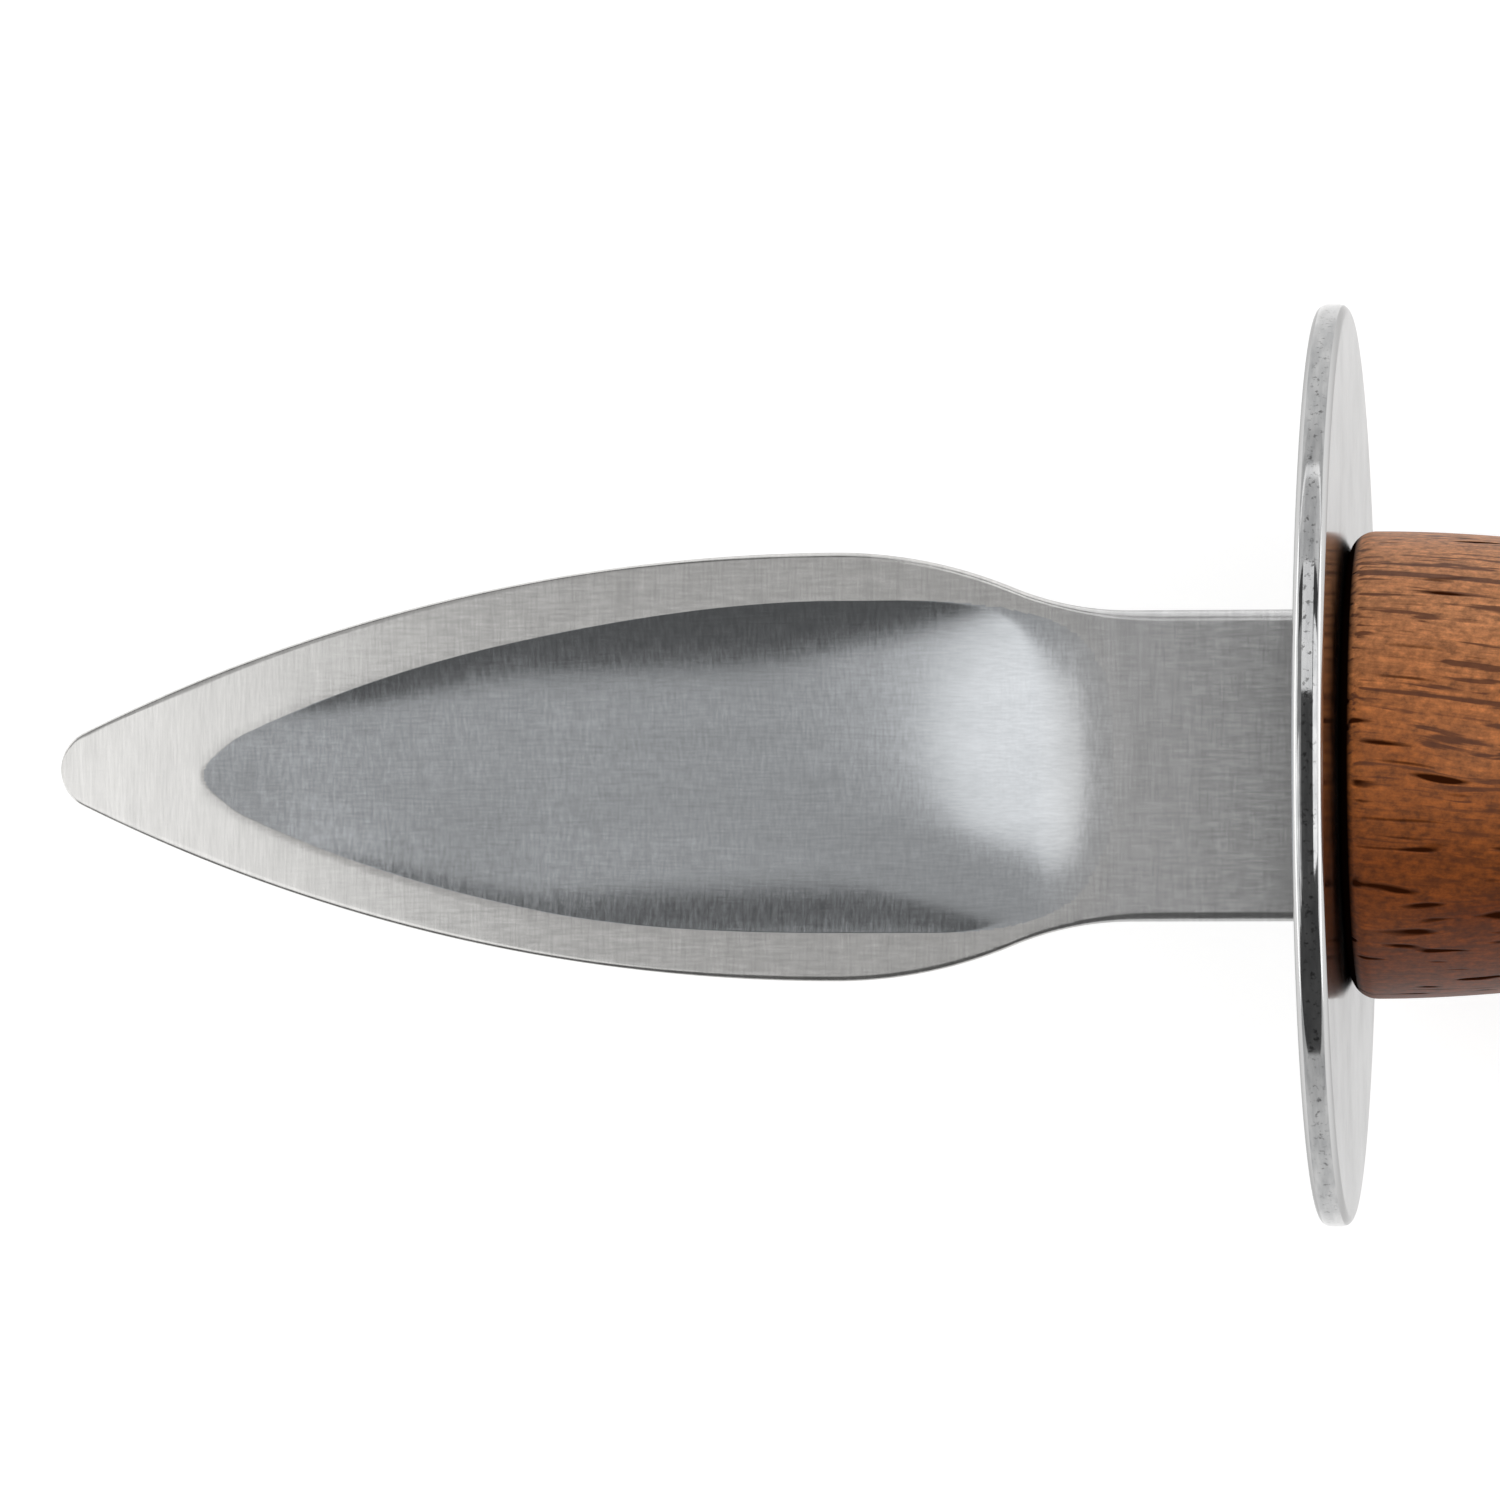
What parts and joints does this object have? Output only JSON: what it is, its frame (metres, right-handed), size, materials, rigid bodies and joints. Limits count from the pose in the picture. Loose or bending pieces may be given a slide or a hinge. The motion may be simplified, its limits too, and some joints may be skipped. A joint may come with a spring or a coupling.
{
  "type": "oyster knife",
  "caption": "Oyster knife with a short hollow-ground steel leaf blade, a round steel guard disc and a turned wooden handle.",
  "frame": {"origin": "centre of the guard's front face, on the knife's axis, where the neck of the blade meets it", "axes": "+X along the knife's axis towards the handle's butt, the blade's tip towards -X; +Z the side that the blade's hollow faces; +Y across the blade"},
  "size_m": [0.1618, 0.045, 0.045],
  "materials": {
    "blade_steel": "brushed stainless steel, cross-brushed on the flats",
    "guard_steel": "mirror-polished stainless steel",
    "handle_wood": "oiled reddish-brown hardwood, satin",
    "tang_adhesive": "cured dark epoxy",
    "pin_steel": "filed flush and lightly brushed"
  },
  "bodies": {
    "root": {"blade": "blade_steel", "guard_disc": "guard_steel", "handle": "handle_wood", "tang_resin": "tang_adhesive", "tang_pin_front": "pin_steel", "tang_pin_rear": "pin_steel"}
  },
  "joints": []
}
